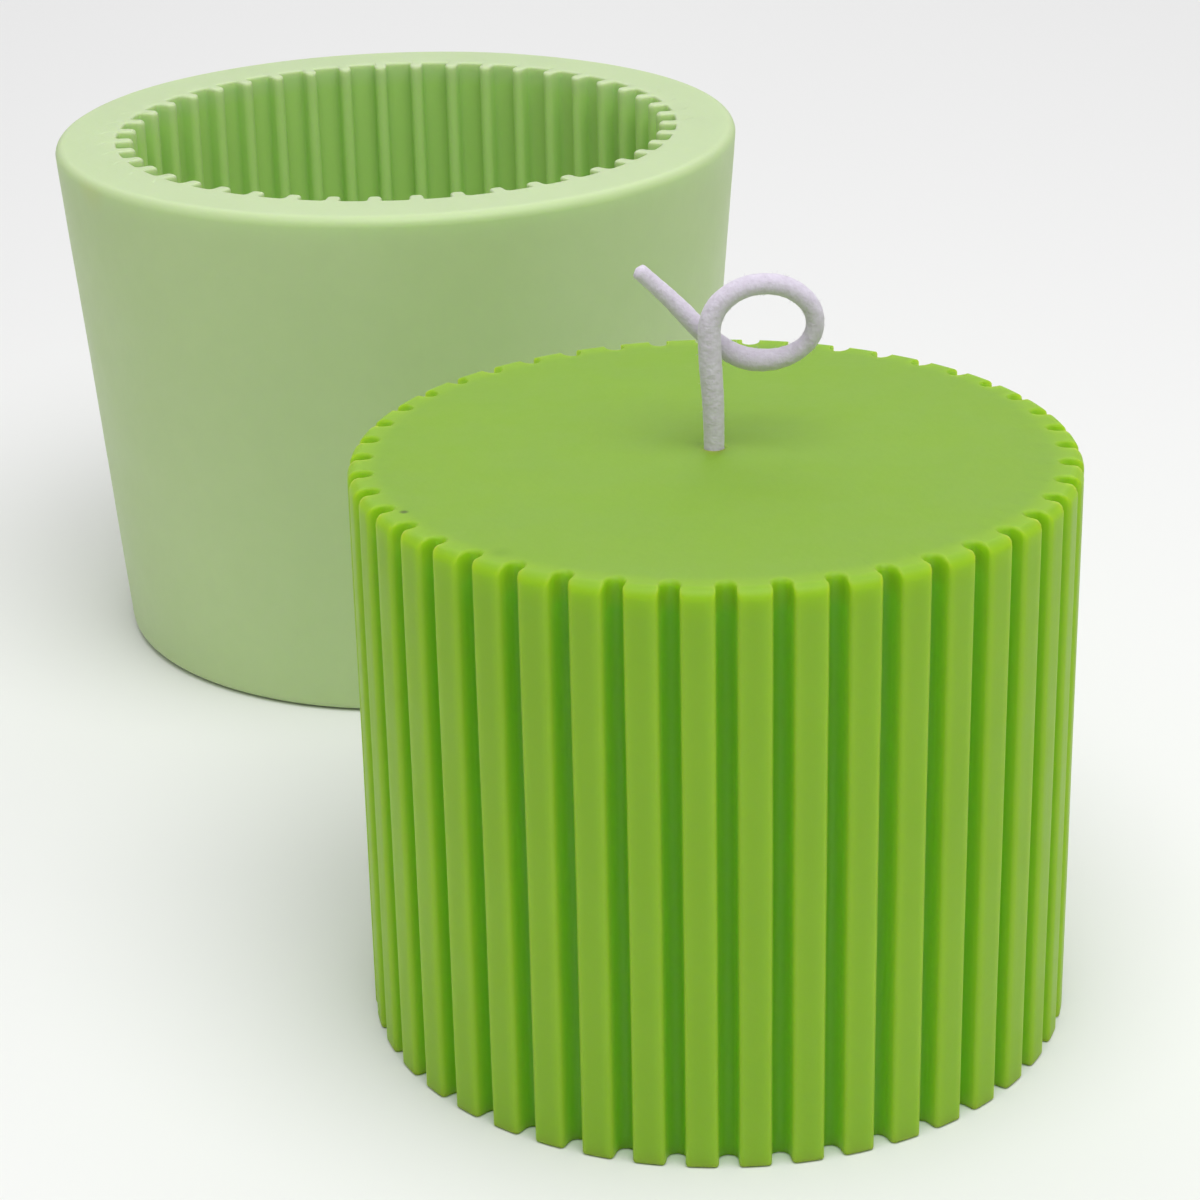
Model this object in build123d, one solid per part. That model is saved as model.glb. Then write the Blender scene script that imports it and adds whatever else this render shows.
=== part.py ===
from build123d import *
import math
import os

os.makedirs("parts", exist_ok=True)

# Driving dimensions in millimetres. The origin is the centre of the mold's base, +Z is up.

# The ribbed pillar candle.
CANDLE_RADIUS = 40.0
CANDLE_HEIGHT = 66.0
GROOVE_COUNT = 44
GROOVE_WIDTH = 2.15
GROOVE_DEPTH = 2.5
GROOVE_CORNER_SHARE = 0.46
GROOVE_LIP_RADIUS = 0.55
CANDLE_TOP_EDGE_RADIUS = 1.4
CANDLE_BASE_EDGE_RADIUS = 0.4
CANDLE_PLACE = (40.5, -119.5)
CANDLE_TURN = -0.7

# The one-piece mold, wider at its mouth than at its base.
WAX_SHRINKAGE = 0.15
MOLD_BASE_THICKNESS = 6.5
MOLD_HEADROOM = 0.5
MOLD_MOUTH_RADIUS = 48.7
MOLD_BASE_RADIUS = 43.0
MOLD_MOUTH_EDGE_RADIUS = 1.4
MOLD_BASE_EDGE_RADIUS = 1.6
CREST_TURN = -1.4

# The cotton wick, and the hole that it is threaded through.
WICK_DIAMETER = 2.4
WICK_FIT_GAP = 0.03
WICK_HOLE_GAP = 0.1
BEND_SHARE = 0.45

# The free wick's corners, measured from where it leaves the candle's top face: up the stem,
# clockwise round the loop, behind the stem and out along the tail.
WICK_ROUTE = [
    (0.0, 0.0, 0.0),
    (0.0, 0.0, 5.2),
    (-0.4, 0.0, 10.5),
    (-0.5, 0.1, 15.6),
    (2.9, 0.4, 18.5),
    (7.6, 0.8, 18.6),
    (11.0, 1.3, 15.8),
    (11.1, 1.8, 12.0),
    (7.9, 2.4, 9.4),
    (3.2, 3.0, 9.2),
    (-0.9, 3.2, 12.2),
    (-4.35, 3.0, 16.3),
    (-8.1, 2.6, 19.9),
]

CAVITY_DEPTH = CANDLE_HEIGHT + MOLD_HEADROOM
MOLD_HEIGHT = MOLD_BASE_THICKNESS + CAVITY_DEPTH
RIM_TOLERANCE = 0.01
FRONT = -90


def grooved_outline(radius, width, turn):
    """A circle with grooves cut into it all the way round, the first at the front.

    Each groove has straight flanks and a bottom rounded by GROOVE_CORNER_SHARE of its width.
    """
    groove = Pos(radius, 0) * RectangleRounded(2 * GROOVE_DEPTH, width, GROOVE_CORNER_SHARE * width)
    outline = Circle(radius)
    for index in range(GROOVE_COUNT):
        outline -= Rot(0, 0, FRONT + turn + index * 360 / GROOVE_COUNT) * groove
    lips = [v for v in outline.vertices() if math.hypot(v.X, v.Y) > radius - RIM_TOLERANCE]
    return fillet(lips, GROOVE_LIP_RADIUS)


def rounded_pillar(radius, height, lower_edge_radius, upper_edge_radius):
    """A plain cylinder on the XY plane with its end edges rounded where a radius is given."""
    pillar = Pos(0, 0, height / 2) * Cylinder(radius, height)
    if lower_edge_radius:
        pillar = fillet(pillar.edges().group_by(Axis.Z)[0], lower_edge_radius)
    if upper_edge_radius:
        pillar = fillet(pillar.edges().group_by(Axis.Z)[-1], upper_edge_radius)
    return pillar


def make_candle():
    """The wax casting, with the straight channel that its wick fills."""
    outline = grooved_outline(CANDLE_RADIUS, GROOVE_WIDTH, CANDLE_TURN)
    candle = extrude(outline, CANDLE_HEIGHT)
    candle &= rounded_pillar(CANDLE_RADIUS, CANDLE_HEIGHT, CANDLE_BASE_EDGE_RADIUS, CANDLE_TOP_EDGE_RADIUS)
    channel = Cylinder(WICK_DIAMETER / 2 + WICK_FIT_GAP, 3 * CANDLE_HEIGHT)
    return Pos(*CANDLE_PLACE) * (candle - channel)


def make_cavity():
    """The hollow in the mold: the candle upside down, larger by the wax's shrinkage, open above."""
    outline = grooved_outline(CANDLE_RADIUS + WAX_SHRINKAGE, GROOVE_WIDTH - 2 * WAX_SHRINKAGE, CREST_TURN)
    cutter_height = CAVITY_DEPTH + MOLD_HEADROOM
    cavity = extrude(outline, cutter_height)
    cavity &= rounded_pillar(CANDLE_RADIUS + WAX_SHRINKAGE, cutter_height, CANDLE_TOP_EDGE_RADIUS, 0)
    return Pos(0, 0, MOLD_BASE_THICKNESS) * cavity


def make_mold():
    """The silicone mold: a tapered cup with a ribbed cavity and a wick hole in its floor."""
    mold = Pos(0, 0, MOLD_HEIGHT / 2) * Cone(MOLD_BASE_RADIUS, MOLD_MOUTH_RADIUS, MOLD_HEIGHT)
    mold = fillet(mold.edges().group_by(Axis.Z)[-1], MOLD_MOUTH_EDGE_RADIUS)
    mold = fillet(mold.edges().group_by(Axis.Z)[0], MOLD_BASE_EDGE_RADIUS)
    mold -= make_cavity()
    return mold - Cylinder(WICK_DIAMETER / 2 + WICK_HOLE_GAP, 3 * MOLD_BASE_THICKNESS)


def make_wick_core():
    """The stretch of wick that is cast into the candle."""
    core = Pos(0, 0, CANDLE_HEIGHT / 2) * Cylinder(WICK_DIAMETER / 2, CANDLE_HEIGHT)
    return Pos(*CANDLE_PLACE) * core


def bend_radii(points):
    """The radius of the arc at each corner: as large as its two runs allow."""
    radii = []
    for before, corner, after in zip(points, points[1:], points[2:]):
        shorter_run = min((corner - before).length, (after - corner).length)
        turn = math.radians((corner - before).get_angle(after - corner))
        radii.append(BEND_SHARE * shorter_run / math.tan(turn / 2))
    return radii


def make_wick_free():
    """The free stretch of wick: a short stem, one open loop and a blunt tail."""
    place_x, place_y = CANDLE_PLACE
    points = [Vector(x + place_x, y + place_y, z + CANDLE_HEIGHT) for x, y, z in WICK_ROUTE]
    radii = bend_radii(points)
    print("wick bend radii, mm:", [round(radius, 1) for radius in radii])
    path = FilletPolyline(*points, radius=radii)
    section = Plane(origin=path @ 0, z_dir=path % 0) * Circle(WICK_DIAMETER / 2)
    tube = sweep(section, path=path)
    print("free wick length, mm:", round(path.length, 2))
    print("tube volume / (section x length):", round(tube.volume / (section.area * path.length), 4))
    return tube


SUB_PARTS = {
    "mold_body": make_mold,
    "candle_body": make_candle,
    "wick_core": make_wick_core,
    "wick_free": make_wick_free,
}

for node, make in SUB_PARTS.items():
    export_step(make(), f"parts/{node}.step")
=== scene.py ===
import math
import random

import bmesh
import bpy
from mathutils import Matrix, Vector, noise


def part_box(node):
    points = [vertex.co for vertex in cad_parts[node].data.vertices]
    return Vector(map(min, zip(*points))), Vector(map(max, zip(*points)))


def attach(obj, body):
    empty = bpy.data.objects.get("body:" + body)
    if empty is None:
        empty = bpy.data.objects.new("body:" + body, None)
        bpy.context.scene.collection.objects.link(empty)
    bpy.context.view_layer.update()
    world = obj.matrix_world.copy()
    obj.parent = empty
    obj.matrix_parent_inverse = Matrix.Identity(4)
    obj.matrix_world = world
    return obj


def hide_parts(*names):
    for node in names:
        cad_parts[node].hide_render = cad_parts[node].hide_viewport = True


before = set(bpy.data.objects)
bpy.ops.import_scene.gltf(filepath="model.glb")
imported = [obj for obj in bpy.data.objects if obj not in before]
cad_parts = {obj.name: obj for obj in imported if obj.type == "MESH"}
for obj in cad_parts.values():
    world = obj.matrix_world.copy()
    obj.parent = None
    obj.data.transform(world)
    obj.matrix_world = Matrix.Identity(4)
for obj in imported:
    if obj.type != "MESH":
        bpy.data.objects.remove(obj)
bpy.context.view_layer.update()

MM = 0.001

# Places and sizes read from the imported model, in metres.
CANDLE_LOW, CANDLE_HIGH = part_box("candle_body")
CANDLE_CENTRE = (CANDLE_LOW + CANDLE_HIGH) / 2
CANDLE_BASE = Vector((CANDLE_CENTRE.x, CANDLE_CENTRE.y, 0))
CANDLE_HEIGHT = CANDLE_HIGH.z
MOLD_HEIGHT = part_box("mold_body")[1].z

# The same driving dimensions as the CAD model, in metres and radians.
CANDLE_RADIUS = 40 * MM
GROOVE_COUNT = 44
GROOVE_WIDTH = 2.15 * MM
GROOVE_DEPTH = 2.5 * MM
GROOVE_LIP_RADIUS = 0.55 * MM
GROOVE_CORNER_SHARE = 0.46
CANDLE_TOP_EDGE_RADIUS = 1.4 * MM
CANDLE_BASE_EDGE_RADIUS = 0.4 * MM
CANDLE_TURN = math.radians(-0.7)
WAX_SHRINKAGE = 0.15 * MM
MOLD_FLOOR = 6.5 * MM
MOLD_MOUTH_RADIUS = 48.7 * MM
MOLD_BASE_RADIUS = 43.0 * MM
MOLD_MOUTH_EDGE_RADIUS = 1.4 * MM
MOLD_BASE_EDGE_RADIUS = 1.6 * MM
WICK_HOLE_RADIUS = 1.3 * MM
CREST_TURN = math.radians(-1.4)
WICK_CHANNEL_RADIUS = 1.23 * MM

# How finely the round parts are divided. A pitch of the ribs has 20 points, with 3 steps to an arc, a
# coarse ring has 5 to a pitch and a central ring 1, because each has to divide the one before it.
ARC_STEPS = 3
COARSE = 5 * GROOVE_COUNT
CENTRE = GROOVE_COUNT
EDGE_STEPS = 5
TOP_EDGE_STEPS = 10
MOUTH_EDGE_STEPS = 8
CAVITY_EDGE_STEPS = 6
CANDLE_WALL_LEVELS = 30
MOLD_WALL_LEVELS = 24

# The circle inside the grooves where the ribbed rings give way to round ones.
INNER_RING = 34.0 * MM

# How the ribbed walls' own edges are softened at the end faces: the lands, and the grooves' bottoms.
CRISP_EDGE = 0.3 * MM
SOFT_EDGE = 0.6 * MM

# The free wick's corners in millimetres, from where it leaves the candle's top face.
WICK_ROUTE = [
    (0.0, 0.0, 0.0),
    (0.0, 0.0, 5.2),
    (-0.4, 0.0, 10.5),
    (-0.5, 0.1, 15.6),
    (2.9, 0.4, 18.5),
    (7.6, 0.8, 18.6),
    (11.0, 1.3, 15.8),
    (11.1, 1.8, 12.0),
    (7.9, 2.4, 9.4),
    (3.2, 3.0, 9.2),
    (-0.9, 3.2, 12.2),
    (-4.35, 3.0, 16.3),
    (-8.1, 2.6, 19.9),
]

# The free wick's half thickness in millimetres, at shares of its length from the candle to its end.
WICK_HALF_THICKNESS = [
    (0.0, 1.13),
    (0.2, 1.26),
    (0.42, 1.14),
    (0.58, 0.98),
    (0.7, 1.25),
    (0.8, 1.12),
    (1.0, 0.88),
]
WICK_AROUND = 40
BRAID_LAY = 5.2 * MM
BRAID_HEIGHT = 0.03 * MM
RELIEF_FADE = 0.6 * MM
CUT_END_ROUNDING = 0.5 * MM
CUT_END_BULGE = 0.12 * MM
CUT_END_SHARE = 0.35

# The loose fibres on the wick, with their least and most reach and thickness in millimetres.
FIBRE_COUNT = 520
FIBRE_SEED = 11
FIBRE_REACH = (0.15, 0.5)
FIBRE_WIDTH = (0.012, 0.022)
FIBRE_LEAN_ALONG = 1.6
FIBRE_LEAN_ROUND = 1.2
FIBRE_BEND = 0.35

# How the wax climbs round the wick at the candle's top, as radius and climb.
WAX_CLIMB = [
    (11 * MM, 0.0),
    (8 * MM, 0.0),
    (5 * MM, 0.01 * MM),
    (3.2 * MM, 0.05 * MM),
    (2.2 * MM, 0.12 * MM),
    (1.6 * MM, 0.26 * MM),
    (WICK_CHANNEL_RADIUS, 0.35 * MM),
]


def make_camera():
    """The camera, in front of the set, looking down on it and rolled a little. Angles are in radians."""
    pitch = 0.3973
    roll = -0.0219
    place = CANDLE_BASE + Vector((-12.8, -318.0, 182.0)) * MM
    data = bpy.data.cameras.new("camera")
    data.sensor_width = 36.0
    data.lens = 93.0
    data.clip_start = 10 * MM
    forward = Vector((0, math.cos(pitch), -math.sin(pitch)))
    level_right = Vector((1, 0, 0))
    level_up = level_right.cross(forward)
    right = math.cos(roll) * level_right + math.sin(roll) * level_up
    up = math.cos(roll) * level_up - math.sin(roll) * level_right
    turn = Matrix((right, up, -forward)).transposed().to_4x4()
    camera = bpy.data.objects.new("camera", data)
    camera.matrix_world = Matrix.Translation(place) @ turn
    bpy.context.scene.collection.objects.link(camera)
    bpy.context.scene.camera = camera


def waves(point, per_metre, height):
    """Smooth noise over a surface, from its waves to the metre and its height in metres."""
    return noise.noise(point * per_metre) * height


def add_piece(name, mesh, material, body, stands_for):
    """Links a mesh as a piece that rides on a body and stands for CAD nodes."""
    piece = bpy.data.objects.new(name, mesh)
    bpy.context.scene.collection.objects.link(piece)
    mesh.materials.append(material)
    mesh.polygons.foreach_set("use_smooth", [True] * len(mesh.polygons))
    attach(piece, body)
    if stands_for:
        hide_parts(*stands_for)
    return piece


# ---------------------------------------------------------------- wick

def wick_line():
    """Points along the wick's smooth centreline, read from its NURBS spline."""
    curve = bpy.data.curves.new("wick_route", "CURVE")
    curve.dimensions = "3D"
    curve.resolution_u = 36
    spline = curve.splines.new("NURBS")
    spline.points.add(len(WICK_ROUTE) - 1)
    exit_point = CANDLE_BASE + Vector((0, 0, CANDLE_HEIGHT))
    for point, corner in zip(spline.points, WICK_ROUTE):
        point.co = (*(exit_point + Vector(corner) * MM), 1)
    spline.order_u = 3
    spline.use_endpoint_u = True
    route = bpy.data.objects.new("wick_route", curve)
    line = [v.co.copy() for v in bpy.data.meshes.new_from_object(route).vertices]
    bpy.data.objects.remove(route)
    return line


def frames_along(line):
    """A tangent and two cross axes at each point, turned as little as possible from one to the next."""
    frames = []
    side = Vector((1, 0, 0))
    for index in range(len(line)):
        ahead = line[min(index + 1, len(line) - 1)]
        behind = line[max(index - 1, 0)]
        along = (ahead - behind).normalized()
        side = (side - along * side.dot(along)).normalized()
        frames.append((along, side, along.cross(side)))
    return frames


def wick_radius(share):
    """The wick's half thickness along its length, 0 at the candle and 1 at the tail's end."""
    for (start, low), (end, high) in zip(WICK_HALF_THICKNESS, WICK_HALF_THICKNESS[1:]):
        if share <= end:
            blend = (share - start) / (end - start)
            blend = blend * blend * (3 - 2 * blend)
            return (low + (high - low) * blend) * MM
    return WICK_HALF_THICKNESS[-1][1] * MM


def braid_relief(distance, angle):
    """Height of a very faint braid over the wick's own surface: two families of crossing strands."""
    flush = 0.85
    lay = 2 * math.pi * distance / BRAID_LAY
    one = abs(math.cos(2 * (angle + lay)))
    other = abs(math.cos(2 * (angle - lay)))
    return (max(one, other) - flush) * BRAID_HEIGHT


def wick_ring(point, side, other, at, length):
    """One ring of the free wick's skin, round a point that lies at a distance along its line."""
    rounding = max(0.0, 1 - (length - at) / CUT_END_ROUNDING)
    taper = CUT_END_SHARE + (1 - CUT_END_SHARE) * math.sqrt(max(0.0, 1 - rounding**2))
    fade = min(1.0, at / RELIEF_FADE)
    radius = wick_radius(at / length)
    ring = []
    for step in range(WICK_AROUND):
        angle = 2 * math.pi * step / WICK_AROUND
        outward = math.cos(angle) * side + math.sin(angle) * other
        spot = point + outward * radius
        lumps = waves(spot, 450, 0.03 * MM) + waves(spot, 3200, 0.012 * MM)
        height = (braid_relief(at, angle) + lumps) * fade
        ring.append(point + outward * (radius + height) * taper)
    return ring


def wick_skin(line, frames, distance):
    """The free wick's closed skin, as points and faces: a ring at each point and a cap at each end."""
    points = []
    faces = []
    for at, point, (_, side, other) in zip(distance, line, frames):
        points += wick_ring(point, side, other, at, distance[-1])
    last = len(line) - 1
    for ring in range(last):
        for step in range(WICK_AROUND):
            a = ring * WICK_AROUND + step
            b = ring * WICK_AROUND + (step + 1) % WICK_AROUND
            faces.append((a, b, b + WICK_AROUND, a + WICK_AROUND))
    for ring, bulge in ((0, 0.0), (last, CUT_END_BULGE)):
        centre = len(points)
        points.append(line[ring] + frames[ring][0] * bulge)
        for step in range(WICK_AROUND):
            a = ring * WICK_AROUND + step
            b = ring * WICK_AROUND + (step + 1) % WICK_AROUND
            faces.append((b, a, centre) if ring == 0 else (a, b, centre))
    return points, faces


def make_wick(material):
    """The free wick: a cotton cord with a very faint braid, a fuzz of fibres and a blunt cut end."""
    line = wick_line()
    frames = frames_along(line)
    distance = [0.0]
    for before, after in zip(line, line[1:]):
        distance.append(distance[-1] + (after - before).length)
    points, faces = wick_skin(line, frames, distance)
    mesh = bpy.data.meshes.new("wick_braid")
    mesh.from_pydata(points, [], faces)
    mesh.validate()
    wick = add_piece("wick_braid", mesh, material, "candle", ["wick_free"])
    fibres = make_fibres(line, frames, distance, material)


def make_fibres(line, frames, distance, material):
    """Short loose cotton fibres that stand off the wick, each a thin closed spike with a bend."""
    dice = random.Random(FIBRE_SEED)
    points = []
    faces = []
    length = distance[-1]
    buried = 0.05 * MM
    for _ in range(FIBRE_COUNT):
        index = dice.randrange(6, len(line) - 1)
        along, side, other = frames[index]
        angle = dice.uniform(0, 2 * math.pi)
        outward = math.cos(angle) * side + math.sin(angle) * other
        root = line[index] + outward * (wick_radius(distance[index] / length) - buried)
        lean = outward + along * dice.uniform(-FIBRE_LEAN_ALONG, FIBRE_LEAN_ALONG)
        lean += outward.cross(along) * dice.uniform(-FIBRE_LEAN_ROUND, FIBRE_LEAN_ROUND)
        lean.normalize()
        reach = dice.uniform(*FIBRE_REACH) * MM
        width = dice.uniform(*FIBRE_WIDTH) * MM
        across = lean.orthogonal().normalized()
        depth = lean.cross(across)
        bend = (across * dice.uniform(-1, 1) + depth * dice.uniform(-1, 1)) * FIBRE_BEND * reach
        first = len(points)
        for share in (0.0, 0.5):
            centre = root + lean * reach * share + bend * share * share
            for corner in range(3):
                turn = 2 * math.pi * corner / 3
                points.append(centre + (across * math.cos(turn) + depth * math.sin(turn)) * width)
        points.append(root + lean * reach + bend)
        faces.append((first + 2, first + 1, first))
        for corner in range(3):
            a = first + corner
            b = first + (corner + 1) % 3
            faces.append((a, b, b + 3, a + 3))
            faces.append((a + 3, b + 3, first + 6))
    mesh = bpy.data.meshes.new("wick_fibres")
    mesh.from_pydata(points, [], faces)
    return add_piece("wick_fibres", mesh, material, "candle", [])


# ---------------------------------------------------------------- ribbed rings

def arc(centre_s, centre_h, radius, start, end):
    """Points and normals of an arc in groove coordinates: s along the land, h down into the groove."""
    found = []
    for step in range(ARC_STEPS + 1):
        angle = math.radians(start + (end - start) * step / ARC_STEPS)
        normal = (math.cos(angle), math.sin(angle))
        found.append((centre_s + radius * normal[0], centre_h + radius * normal[1], *normal))
    return found


def groove_section(pitch, width):
    """One pitch of the ribbed outline as (s, h, normal s, normal h), the normals out of the candle."""
    half = width / 2
    lip = GROOVE_LIP_RADIUS
    corner = GROOVE_CORNER_SHARE * width
    land_end = pitch / 2
    left = [(-land_end, 0.0, 0.0, -1.0), (-(land_end + half + lip) / 2, 0.0, 0.0, -1.0)]
    left += arc(-half - lip, lip, lip, -90, 0)
    hollow = arc(-half + corner, GROOVE_DEPTH - corner, corner, 180, 90)
    left += [(s, h, -ns, -nh) for s, h, ns, nh in hollow]
    middle = [(0.0, GROOVE_DEPTH, 0.0, -1.0)]
    right = [(-s, h, -ns, nh) for s, h, ns, nh in reversed(left)]
    return left + middle + right[:-1]


def ribbed_outline(radius, width, turn):
    """The whole outline as (angle, depth, and the normal's shares along the circle and inwards)."""
    pitch = 2 * math.pi * radius / GROOVE_COUNT
    section = groove_section(pitch, width)
    outline = []
    for index in range(GROOVE_COUNT):
        middle = -math.pi / 2 + turn + 2 * math.pi * index / GROOVE_COUNT
        outline += [(middle, s, h, ns, nh) for s, h, ns, nh in section]
    return outline


def drawn_in(from_end, edge_radius):
    """How far a rounded edge has drawn in from the wall, at a distance from the end face."""
    rise = max(0.0, edge_radius - from_end)
    return edge_radius - math.sqrt(edge_radius**2 - rise**2)


def ribbed_ring(outline, radius, height, limit, from_end, groove_edge, way):
    """A ring of points that follows the ribs, kept within limit of the axis.

    Near an end face the edge is rounded, by CRISP_EDGE at the lands and by groove_edge at the
    bottoms of the grooves. Way is -1 for the candle and 1 for the cavity.
    """
    sideways = way * drawn_in(from_end, CRISP_EDGE)
    ring = []
    for middle, s, h, ns, nh in outline:
        edge = CRISP_EDGE + (groove_edge - CRISP_EDGE) * (h / GROOVE_DEPTH) ** 2
        inwards = way * drawn_in(from_end, edge)
        angle = middle + (s + ns * sideways) / radius
        reach = min(radius - (h + nh * inwards), limit)
        ring.append(Vector((reach * math.cos(angle), reach * math.sin(angle), height)))
    return ring


def round_ring(count, radius, height):
    """A plain circle of points, which starts half a pitch before the front, as the ribbed rings do."""
    ring = []
    for index in range(count):
        angle = -math.pi / 2 - math.pi / GROOVE_COUNT + 2 * math.pi * index / count
        ring.append(Vector((radius * math.cos(angle), radius * math.sin(angle), height)))
    return ring


def circle_by(ring, radius, height, evenness):
    """A circle with as many points as a ribbed ring, in the same directions or spaced evenly."""
    circle = []
    for point, even in zip(ring, round_ring(len(ring), 1.0, 0.0)):
        direction = point.xy.normalized().lerp(even.xy, evenness)
        circle.append(Vector((*(direction.normalized() * radius), height)))
    return circle


def edge_depths(radius, steps):
    """Distances from an end face to the steps round a rounded edge, from the wall to the face."""
    return [radius * (1 - math.sin(math.pi / 2 * step / steps)) for step in range(steps + 1)]


def between(low, high, levels):
    """The heights that divide a wall into levels, without its two ends."""
    return [low + (high - low) * level / levels for level in range(1, levels)]


def skin(rings):
    """Joins rings into a surface.

    A ring may have a whole number of times fewer or more points than the one before it.
    """
    points = []
    starts = []
    for ring in rings:
        starts.append(len(points))
        points += ring
    faces = []
    for (first, ring), (second, following) in zip(zip(starts, rings), zip(starts[1:], rings[1:])):
        if len(ring) >= len(following):
            many, many_count, few, few_count = first, len(ring), second, len(following)
        else:
            many, many_count, few, few_count = second, len(following), first, len(ring)
        ratio = many_count // few_count
        for index in range(few_count):
            a = few + index
            b = few + (index + 1) % few_count
            fan = [many + (index * ratio + k) % many_count for k in range(ratio + 1)]
            if ratio == 1:
                faces.append((a, b, fan[1], fan[0]))
                continue
            half = ratio // 2
            faces += [(a, fan[k + 1], fan[k]) for k in range(half)]
            faces.append((a, b, fan[half]))
            faces += [(b, fan[k + 1], fan[k]) for k in range(half, ratio)]
    return points, faces


def closed_mesh(name, rings, relief, place):
    """A closed mesh through the rings, the last joined to the first, its surface moved by relief."""
    points, faces = skin(rings + [rings[0]])
    wanted = len(points) - len(rings[0])
    faces = [tuple(v if v < wanted else v - wanted for v in face) for face in faces]
    mesh = bpy.data.meshes.new(name)
    mesh.from_pydata([point + place for point in points[:wanted]], [], faces)
    make_outward(mesh)
    normals = [vertex.normal.copy() for vertex in mesh.vertices]
    for vertex, normal in zip(mesh.vertices, normals):
        moved = vertex.co + normal * relief(vertex.co - place)
        vertex.co = (moved.x, moved.y, max(moved.z, 0.0))
    return mesh


def make_outward(mesh):
    """Turns the faces so that their normals point out of the solid."""
    work = bmesh.new()
    work.from_mesh(mesh)
    bmesh.ops.recalc_face_normals(work, faces=work.faces)
    work.to_mesh(mesh)
    work.free()


# ---------------------------------------------------------------- candle

def candle_rings():
    """The candle's rings, in order round its section.

    They start at the wick channel's foot and run out over the base, up the wall, in over the top and
    down the channel to half its depth.
    """
    outline = ribbed_outline(CANDLE_RADIUS, GROOVE_WIDTH, CANDLE_TURN)

    def wall(height):
        """A ring of the ribbed wall, at a height."""
        from_top = CANDLE_HEIGHT - height
        limit = CANDLE_RADIUS - drawn_in(from_top, CANDLE_TOP_EDGE_RADIUS)
        limit -= drawn_in(height, CANDLE_BASE_EDGE_RADIUS)
        from_end = min(height, from_top)
        groove_edge = CRISP_EDGE if height < from_top else SOFT_EDGE
        return ribbed_ring(outline, CANDLE_RADIUS, height, limit, from_end, groove_edge, way=-1)

    rings = [round_ring(CENTRE, WICK_CHANNEL_RADIUS, 0.0)]
    for radius in (6, 14):
        rings.append(round_ring(CENTRE, radius * MM, 0.0))
    for radius in (22, 32.5):
        rings.append(round_ring(COARSE, radius * MM, 0.0))
    rings.append(circle_by(wall(0.0), INNER_RING, 0.0, 1.0))
    low = CANDLE_BASE_EDGE_RADIUS
    high = CANDLE_HEIGHT - CANDLE_TOP_EDGE_RADIUS
    heights = list(reversed(edge_depths(low, EDGE_STEPS)))
    heights += between(low, high, CANDLE_WALL_LEVELS)
    heights += [CANDLE_HEIGHT - depth for depth in edge_depths(CANDLE_TOP_EDGE_RADIUS, TOP_EDGE_STEPS)]
    rings += [wall(height) for height in heights]
    rings.append(circle_by(rings[-1], INNER_RING, CANDLE_HEIGHT, 1.0))
    for radius in (32.5, 30, 27, 24, 21, 18, 14):
        rings.append(round_ring(COARSE, radius * MM, CANDLE_HEIGHT))
    for radius, climb in WAX_CLIMB:
        rings.append(round_ring(CENTRE, radius, CANDLE_HEIGHT + climb))
    rings.append(round_ring(CENTRE, WICK_CHANNEL_RADIUS, CANDLE_HEIGHT / 2))
    return rings


def candle_relief(point):
    """The slight waviness that cast wax keeps: broad waves and much lower fine ones."""
    return waves(point, 45, 0.05 * MM) + waves(point, 260, 0.005 * MM)


def make_candle(material):
    """The ribbed pillar candle."""
    mesh = closed_mesh("candle_wax", candle_rings(), candle_relief, CANDLE_BASE)
    add_piece("candle_wax", mesh, material, "candle", ["candle_body"])


# ---------------------------------------------------------------- mold

def mold_wall_radius(height):
    """The mold's outer radius, which grows evenly from its base to its mouth."""
    return MOLD_BASE_RADIUS + (MOLD_MOUTH_RADIUS - MOLD_BASE_RADIUS) * height / MOLD_HEIGHT


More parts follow.
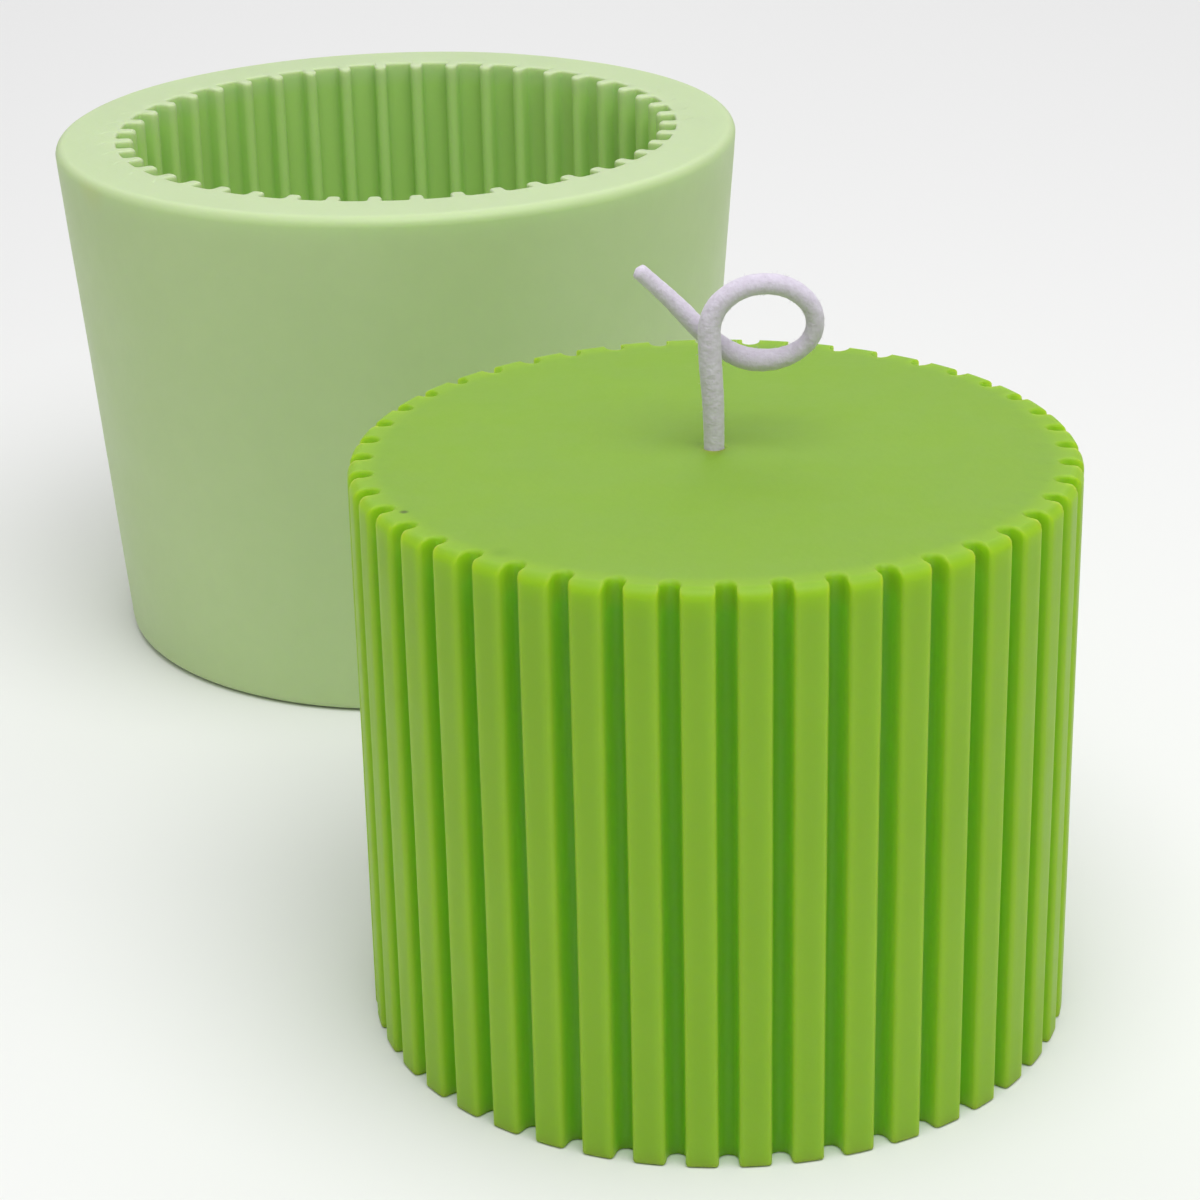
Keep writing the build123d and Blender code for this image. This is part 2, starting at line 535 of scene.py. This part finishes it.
def mold_rings():
    """The mold's rings, in order round its section.

    They start at the wick hole's foot and run out over the base, up the wall, in over the rim, down
    the cavity and in over its floor to the hole's edge.
    """
    radius = CANDLE_RADIUS + WAX_SHRINKAGE
    outline = ribbed_outline(radius, GROOVE_WIDTH - 2 * WAX_SHRINKAGE, CREST_TURN)

    def outside(height):
        """A ring of the outer wall, at a height."""
        size = mold_wall_radius(height) - drawn_in(height, MOLD_BASE_EDGE_RADIUS)
        size -= drawn_in(MOLD_HEIGHT - height, MOLD_MOUTH_EDGE_RADIUS)
        return round_ring(COARSE, size, height)

    def cavity(height):
        """A ring of the cavity's wall, at a height."""
        from_rim = MOLD_HEIGHT - height
        limit = radius - drawn_in(height - MOLD_FLOOR, CANDLE_TOP_EDGE_RADIUS)
        limit += drawn_in(from_rim, CRISP_EDGE)
        return ribbed_ring(outline, radius, height, limit, from_rim, SOFT_EDGE, way=1)

    base_flat = MOLD_BASE_RADIUS - MOLD_BASE_EDGE_RADIUS
    rim_flat = MOLD_MOUTH_RADIUS - MOLD_MOUTH_EDGE_RADIUS
    rings = [round_ring(CENTRE, WICK_HOLE_RADIUS, 0.0)]
    for size in (8 * MM, 20 * MM):
        rings.append(round_ring(CENTRE, size, 0.0))
    for size in (34 * MM, base_flat - 0.3 * MM):
        rings.append(round_ring(COARSE, size, 0.0))
    low = MOLD_BASE_EDGE_RADIUS
    high = MOLD_HEIGHT - MOLD_MOUTH_EDGE_RADIUS
    heights = list(reversed(edge_depths(low, EDGE_STEPS)))
    heights += between(low, high, MOLD_WALL_LEVELS)
    heights += [MOLD_HEIGHT - depth for depth in edge_depths(MOLD_MOUTH_EDGE_RADIUS, MOUTH_EDGE_STEPS)]
    rings += [outside(height) for height in heights]
    for size in (rim_flat - 0.4 * MM, rim_flat - 2 * MM, 42.8 * MM):
        rings.append(round_ring(COARSE, size, MOLD_HEIGHT))
    rings.append(circle_by(cavity(MOLD_HEIGHT), radius + 1.2 * MM, MOLD_HEIGHT, 0.05))
    low = MOLD_FLOOR + CANDLE_TOP_EDGE_RADIUS
    high = MOLD_HEIGHT - 1 * MM
    heights = [MOLD_HEIGHT - depth for depth in reversed(edge_depths(SOFT_EDGE, CAVITY_EDGE_STEPS))]
    heights.append(high)
    heights += reversed(between(low, high, MOLD_WALL_LEVELS))
    heights += [MOLD_FLOOR + depth for depth in edge_depths(CANDLE_TOP_EDGE_RADIUS, EDGE_STEPS)]
    rings += [cavity(height) for height in heights]
    rings.append(circle_by(rings[-1], INNER_RING, MOLD_FLOOR, 1.0))
    for size in (32.5 * MM, 24 * MM):
        rings.append(round_ring(COARSE, size, MOLD_FLOOR))
    for size in (14 * MM, 6 * MM, 2.4 * MM, WICK_HOLE_RADIUS):
        rings.append(round_ring(CENTRE, size, MOLD_FLOOR))
    return rings


def mold_relief(point):
    """The slight waviness of cast silicone: broad waves and much lower fine ones."""
    return waves(point, 38, 0.10 * MM) + waves(point, 210, 0.015 * MM)


def make_mold(material):
    """The silicone mold."""
    mesh = closed_mesh("mold_silicone", mold_rings(), mold_relief, Vector((0, 0, 0)))
    add_piece("mold_silicone", mesh, material, "mold", ["mold_body"])


# ---------------------------------------------------------------- materials

class Paint:
    """A material with one Principled shader, and short ways to add procedural detail to it."""

    def __init__(self, name, settings):
        self.material = bpy.data.materials.new(name)
        self.material.use_nodes = True
        self.nodes = self.material.node_tree.nodes
        self.links = self.material.node_tree.links
        self.shader = self.nodes["Principled BSDF"]
        for socket, value in settings.items():
            self.shader.inputs[socket].default_value = value
        self.place = self.nodes.new("ShaderNodeTexCoord").outputs["Object"]

    def noise(self, size, detail):
        """Smooth noise, mostly from 0.3 to 0.7, with lumps of the given size in metres."""
        node = self.nodes.new("ShaderNodeTexNoise")
        node.inputs["Scale"].default_value = 1 / size
        node.inputs["Detail"].default_value = detail
        self.links.new(self.place, node.inputs["Vector"])
        return node.outputs["Fac"]

    def spread(self, value, low, high, start=0.3, end=0.7):
        """A value that runs from start to end, as noise does, stretched to run from low to high."""
        node = self.nodes.new("ShaderNodeMapRange")
        node.inputs["From Min"].default_value = start
        node.inputs["From Max"].default_value = end
        node.inputs["To Min"].default_value = low
        node.inputs["To Max"].default_value = high
        self.links.new(value, node.inputs["Value"])
        return node.outputs["Result"]

    def mix(self, share, first, second):
        """A colour between two others, each a colour or another node's output.

        The mix node's colour sockets are inputs 6 and 7 and output 2.
        """
        node = self.nodes.new("ShaderNodeMix")
        node.data_type = "RGBA"
        self.links.new(share, node.inputs["Factor"])
        for socket, colour in ((node.inputs[6], first), (node.inputs[7], second)):
            if isinstance(colour, tuple):
                socket.default_value = (*colour, 1)
            else:
                self.links.new(colour, socket)
        return node.outputs[2]

    def from_axis(self, foot):
        """The distance from the upright axis through a point at rest, in metres."""
        from_foot = self.nodes.new("ShaderNodeVectorMath")
        from_foot.operation = "SUBTRACT"
        from_foot.inputs[1].default_value = foot
        self.links.new(self.place, from_foot.inputs[0])
        flat = self.nodes.new("ShaderNodeVectorMath")
        flat.operation = "MULTIPLY"
        flat.inputs[1].default_value = (1, 1, 0)
        self.links.new(from_foot.outputs[0], flat.inputs[0])
        node = self.nodes.new("ShaderNodeVectorMath")
        node.operation = "LENGTH"
        self.links.new(flat.outputs[0], node.inputs[0])
        return node.outputs["Value"]

    def height(self):
        """The height over the floor at rest, in metres."""
        node = self.nodes.new("ShaderNodeSeparateXYZ")
        self.links.new(self.place, node.inputs[0])
        return node.outputs["Z"]

    def both(self, first, second):
        """The product of two shares."""
        node = self.nodes.new("ShaderNodeMath")
        node.operation = "MULTIPLY"
        self.links.new(first, node.inputs[0])
        self.links.new(second, node.inputs[1])
        return node.outputs[0]

    def spot(self, centre, radius, blur):
        """1 within a radius of a point and 0 outside it, with a soft edge."""
        node = self.nodes.new("ShaderNodeVectorMath")
        node.operation = "DISTANCE"
        node.inputs[1].default_value = centre
        self.links.new(self.place, node.inputs[0])
        return self.spread(node.outputs["Value"], 1, 0, radius - blur / 2, radius + blur / 2)

    def feed(self, socket, value):
        """Sends a value to one of the shader's sockets."""
        self.links.new(value, self.shader.inputs[socket])

    def bump(self, layers):
        """Fine surface relief, from (value, height in metres) pairs."""
        previous = None
        for value, height in layers:
            node = self.nodes.new("ShaderNodeBump")
            node.inputs["Distance"].default_value = height
            self.links.new(value, node.inputs["Height"])
            if previous:
                self.links.new(previous, node.inputs["Normal"])
            previous = node.outputs["Normal"]
        self.feed("Normal", previous)


def make_silicone():
    """Pale green cast silicone: satin and faintly mottled, with painted light that makes its rim paler
    and painted interreflection that makes its cavity a deeper green.
    """
    paint = Paint("silicone", {
        "IOR": 1.41,
        "Subsurface Weight": 0.6,
        "Subsurface Radius": (1.0, 1.2, 0.6),
        "Subsurface Scale": 3 * MM,
    })
    darker = (0.485, 0.635, 0.300)
    lighter = (0.52, 0.67, 0.325)
    specks = (0.45, 0.60, 0.28)
    streak = (0.52, 0.63, 0.26)
    # Painted light: a paler, whiter green for the rim, standing in for the light and sheen its top face
    # catches.
    rim = (0.525, 0.650, 0.365)
    # Painted interreflection: a deeper, more saturated green for the inside of the cavity, standing in
    # for light bounced between its walls.
    cavity = (0.455, 0.70, 0.195)
    streak_place = Vector((-39 * MM, -26 * MM, MOLD_HEIGHT))
    rib_foot = CANDLE_RADIUS + WAX_SHRINKAGE

    mottled = paint.mix(paint.spread(paint.noise(45 * MM, 2), 0, 1), darker, lighter)
    specked = paint.mix(paint.spread(paint.noise(3.5 * MM, 4), 0, 0.25), mottled, specks)
    streaked = paint.mix(paint.spot(streak_place, 3 * MM, 4 * MM), specked, streak)
    from_axis = paint.from_axis((0, 0, 0))
    # Where the painted interreflection goes: inside the cavity, more in its channels, fading out under
    # the rim.
    hollow = paint.spread(from_axis, 1, 0, rib_foot, rib_foot + 0.5 * MM)
    channel = paint.spread(from_axis, 0.65, 1, rib_foot - GROOVE_DEPTH, rib_foot - 0.5 * MM)
    under_rim = paint.spread(paint.height(), 1, 0, MOLD_HEIGHT - 3.5 * MM, MOLD_HEIGHT - 0.2 * MM)
    inside = paint.both(paint.both(hollow, channel), under_rim)
    # Where the painted rim light goes: the rim's top face.
    rim_light_share = paint.spread(paint.height(), 0, 1, MOLD_HEIGHT - 1.2 * MM, MOLD_HEIGHT - 0.2 * MM)
    outside = paint.mix(rim_light_share, streaked, rim)
    paint.feed("Base Color", paint.mix(inside, outside, cavity))
    paint.feed("Roughness", paint.spread(paint.noise(12 * MM, 3), 0.40, 0.52))
    paint.bump([(paint.noise(0.9 * MM, 3), 0.03 * MM), (paint.noise(6 * MM, 2), 0.06 * MM)])
    return paint.material


def make_wax():
    """Bright green pillar wax: satin, with painted bounce light and shade that make its grooves richer,
    painted shade that dulls its top and a painted glow at its top edge.
    """
    paint = Paint("wax", {
        "IOR": 1.44,
        "Specular IOR Level": 0.35,
        "Subsurface Weight": 1.0,
        "Subsurface Radius": (1.0, 1.2, 0.3),
        "Subsurface Scale": 4 * MM,
    })
    darker = (0.258, 0.462, 0.022)
    lighter = (0.277, 0.488, 0.028)
    # Painted shade: a darker, duller copy of the wax for the top face, set by how the light falls on it.
    top = (0.213, 0.384, 0.030)
    # Painted bounce light: a richer, brighter green on the grooves' flanks.
    groove_flank_painted_bounce = (0.27, 0.76, 0.036)
    # Painted shade: a darker, deeper green in the grooves' bottoms.
    groove_bottom_painted_shade = (0.16, 0.50, 0.010)
    # Painted glow: a brighter yellow-green at the top edge, standing in for light shining through the
    # thin wax there.
    top_edge_painted_glow = (0.285, 0.49, 0.007)
    # Painted shade: a very dark spot standing for the shade in a small pit; no dent is modelled.
    pit_painted_shade = (0.09, 0.14, 0.02)
    smudge = (0.185, 0.34, 0.02)
    pit_shade_place = CANDLE_BASE + Vector((-33.0 * MM, -16.7 * MM, CANDLE_HEIGHT))
    smudge_place = CANDLE_BASE + Vector((-22.7 * MM, -28.7 * MM, CANDLE_HEIGHT))
    groove_foot = CANDLE_RADIUS - GROOVE_DEPTH
    edge_foot = CANDLE_HEIGHT - 3.5 * MM

    mottled = paint.mix(paint.spread(paint.noise(30 * MM, 3), 0, 1), darker, lighter)
    from_axis = paint.from_axis(CANDLE_BASE)
    # Where the painted groove bounce light goes: deeper into the grooves, below the top edge.
    groove_bounce_share = paint.spread(from_axis, 0.6, 0, groove_foot + 0.2 * MM, CANDLE_RADIUS - 0.3 * MM)
    upper = paint.spread(paint.height(), 0, 1, edge_foot, CANDLE_HEIGHT)
    outer = paint.spread(from_axis, 0, 1, groove_foot - 1.2 * MM, groove_foot + 0.2 * MM)
    below = paint.spread(paint.height(), 1, 0, edge_foot, CANDLE_HEIGHT)
    # Where the painted top shade goes: the top face.
    top_shade_share = paint.spread(paint.height(), 0, 1, CANDLE_HEIGHT - 1.0 * MM, CANDLE_HEIGHT - 0.2 * MM)
    with_top_shade = paint.mix(top_shade_share, mottled, top)
    # Where the painted groove shade goes: the grooves' bottoms, below the top edge.
    groove_shade_share = paint.spread(from_axis, 0.6, 0, groove_foot + 0.1 * MM, groove_foot + 0.7 * MM)
    with_groove_bounce = paint.mix(paint.both(groove_bounce_share, below), with_top_shade, groove_flank_painted_bounce)
    with_groove_shade = paint.mix(paint.both(groove_shade_share, below), with_groove_bounce, groove_bottom_painted_shade)
    # Where the painted edge glow goes: high on the outer wall, fading over the top face.
    side = paint.spread(paint.height(), 1, 0.3, CANDLE_HEIGHT - 0.7 * MM, CANDLE_HEIGHT - 0.1 * MM)
    with_edge_glow = paint.mix(paint.both(paint.both(upper, outer), side), with_groove_shade, top_edge_painted_glow)
    # The painted pit shade on the top face.
    with_pit_shade = paint.mix(paint.spot(pit_shade_place, 0.4 * MM, 0.4 * MM), with_edge_glow, pit_painted_shade)
    paint.feed("Base Color", paint.mix(paint.spot(smudge_place, 0.8 * MM, 1.6 * MM), with_pit_shade, smudge))
    paint.feed("Roughness", paint.spread(paint.noise(8 * MM, 4), 0.45, 0.58))
    paint.bump([(paint.noise(0.6 * MM, 3), 0.02 * MM), (paint.noise(4 * MM, 3), 0.05 * MM)])
    return paint.material


def make_cotton():
    """Pale cotton with a lilac cast: matte, with a fine grain."""
    paint = Paint("cotton", {
        "Specular IOR Level": 0.25,
        "Sheen Weight": 0.35,
        "Sheen Roughness": 0.5,
        "Subsurface Weight": 0.3,
        "Subsurface Radius": (1.0, 1.0, 1.0),
        "Subsurface Scale": 0.6 * MM,
    })
    darker = (0.64, 0.58, 0.69)
    lighter = (0.71, 0.66, 0.77)
    paint.feed("Base Color", paint.mix(paint.spread(paint.noise(0.5 * MM, 4), 0, 1), darker, lighter))
    paint.feed("Roughness", paint.spread(paint.noise(0.6 * MM, 3), 0.75, 0.95))
    paint.bump([(paint.noise(0.25 * MM, 4), 0.08 * MM), (paint.noise(0.8 * MM, 3), 0.12 * MM)])
    return paint.material


def dress_core(material):
    """The wick inside the wax keeps its CAD mesh and takes the cotton material."""
    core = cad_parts["wick_core"]
    core.data.materials.clear()
    core.data.materials.append(material)


# ---------------------------------------------------------------- studio

def make_floor():
    """A plain, near-white floor, a hair below the object's base."""
    half_width = 4.0
    level = -0.02 * MM
    signs = [(-1, -1), (1, -1), (1, 1), (-1, 1)]
    corners = [(half_width * x, half_width * y, level) for x, y in signs]
    mesh = bpy.data.meshes.new("floor")
    mesh.from_pydata(corners, [], [(0, 1, 2, 3)])
    material = bpy.data.materials.new("floor")
    material.use_nodes = True
    shader = material.node_tree.nodes["Principled BSDF"]
    shader.inputs["Base Color"].default_value = (0.86, 0.86, 0.86, 1)
    shader.inputs["Roughness"].default_value = 0.9
    mesh.materials.append(material)
    floor = bpy.data.objects.new("floor", mesh)
    bpy.context.scene.collection.objects.link(floor)


def make_room():
    """A dim white room all round, and colours shown as they are."""
    world = bpy.data.worlds.new("studio")
    world.use_nodes = True
    background = world.node_tree.nodes["Background"]
    background.inputs["Color"].default_value = (1, 1, 1, 1)
    background.inputs["Strength"].default_value = 0.38
    bpy.context.scene.world = world
    bpy.context.scene.view_settings.view_transform = "Standard"


def add_area_light(name, shape, width, depth, energy, placed):
    """An area light, with its size in metres, its energy in watts and its place and turn as a matrix."""
    data = bpy.data.lights.new(name, "AREA")
    data.shape = shape
    data.size = width
    data.size_y = depth
    data.energy = energy
    light = bpy.data.objects.new(name, data)
    light.matrix_world = placed
    bpy.context.scene.collection.objects.link(light)


def make_lights():
    """A large round softbox high up at the front right, and a wide panel high up behind."""
    place = Vector((0.11, -0.32, 0.74))
    towards_set = (-place).to_track_quat("-Z", "Y").to_matrix().to_4x4()
    add_area_light("softbox", "DISK", 0.7, 0.7, 4.8, Matrix.Translation(place) @ towards_set)
    facing_down = Matrix.Translation(Vector((0.0, 0.8, 0.8)))
    add_area_light("panel", "RECTANGLE", 1.2, 0.8, 4.0, facing_down)


make_camera()
cotton = make_cotton()
make_wick(cotton)
make_candle(make_wax())
make_mold(make_silicone())
dress_core(cotton)
make_floor()
make_room()
make_lights()
